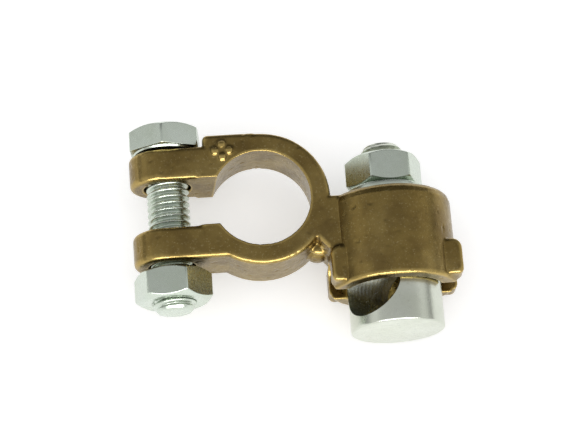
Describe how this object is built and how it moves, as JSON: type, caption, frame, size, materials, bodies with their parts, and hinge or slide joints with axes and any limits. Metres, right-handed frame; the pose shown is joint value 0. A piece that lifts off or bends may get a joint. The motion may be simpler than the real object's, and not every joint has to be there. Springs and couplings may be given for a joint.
{
  "type": "ground clamp",
  "caption": "Cast battery-post terminal clamp: a split ring closed by a cross bolt, with a side barrel whose cross-drilled pin draws a cable into slotted wings.",
  "frame": {"origin": "on the axis of the tapered post bore, in the plane of the ring's underside", "axes": "+Z along the post bore, up and away from the battery; +X from the post towards the cable barrel; +Y towards the head of the clamp bolt"},
  "size_m": [0.0602, 0.0414, 0.0237],
  "materials": {
    "cast_brass": "semi-gloss cast skin, olive brown, with warm gold rims",
    "plated_fastener": "bright zinc plate, faintly blue",
    "plated_pin": "smooth turned zinc plate"
  },
  "bodies": {
    "clamp": {"clamp_body": "cast_brass"},
    "clamp_bolt": {"clamp_bolt": "plated_fastener"},
    "clamp_nut": {"clamp_nut": "plated_fastener"},
    "cable_washer": {"cable_washer": "plated_fastener"},
    "cable_nut": {"cable_nut": "plated_fastener"},
    "cable_pin": {"cable_pin": "plated_pin"}
  },
  "joints": [
    {"name": "clamp_nut_turn", "type": "hinge", "parent": "clamp", "child": "clamp_nut", "pos_m": [-0.01715, -0.0147, 0.006], "axis": [0, -1, 0], "range_deg": [0, 1080]},
    {"name": "clamp_bolt_slide", "type": "slide", "parent": "clamp", "child": "clamp_bolt", "axis": [0, 1, 0], "range_m": [0, 0.00375]},
    {"name": "cable_pin_swivel", "type": "hinge", "parent": "clamp", "child": "cable_washer", "pos_m": [0.02355, 0, 0.00524], "axis": [0, 1, 0], "continuous": true},
    {"name": "cable_nut_turn", "type": "hinge", "parent": "cable_washer", "child": "cable_nut", "pos_m": [0.02355, 0.005, 0.00524], "axis": [0, -1, 0], "range_deg": [-720, 1080]},
    {"name": "cable_pin_draw", "type": "slide", "parent": "cable_washer", "child": "cable_pin", "axis": [0, 1, 0], "range_m": [-0.0025, 0.00375]}
  ],
  "couplings": [
    {"joint": "clamp_nut_turn", "follows": "clamp_bolt_slide", "rad_per_m": 5026.5},
    {"joint": "cable_nut_turn", "follows": "cable_pin_draw", "rad_per_m": 5026.5}
  ]
}
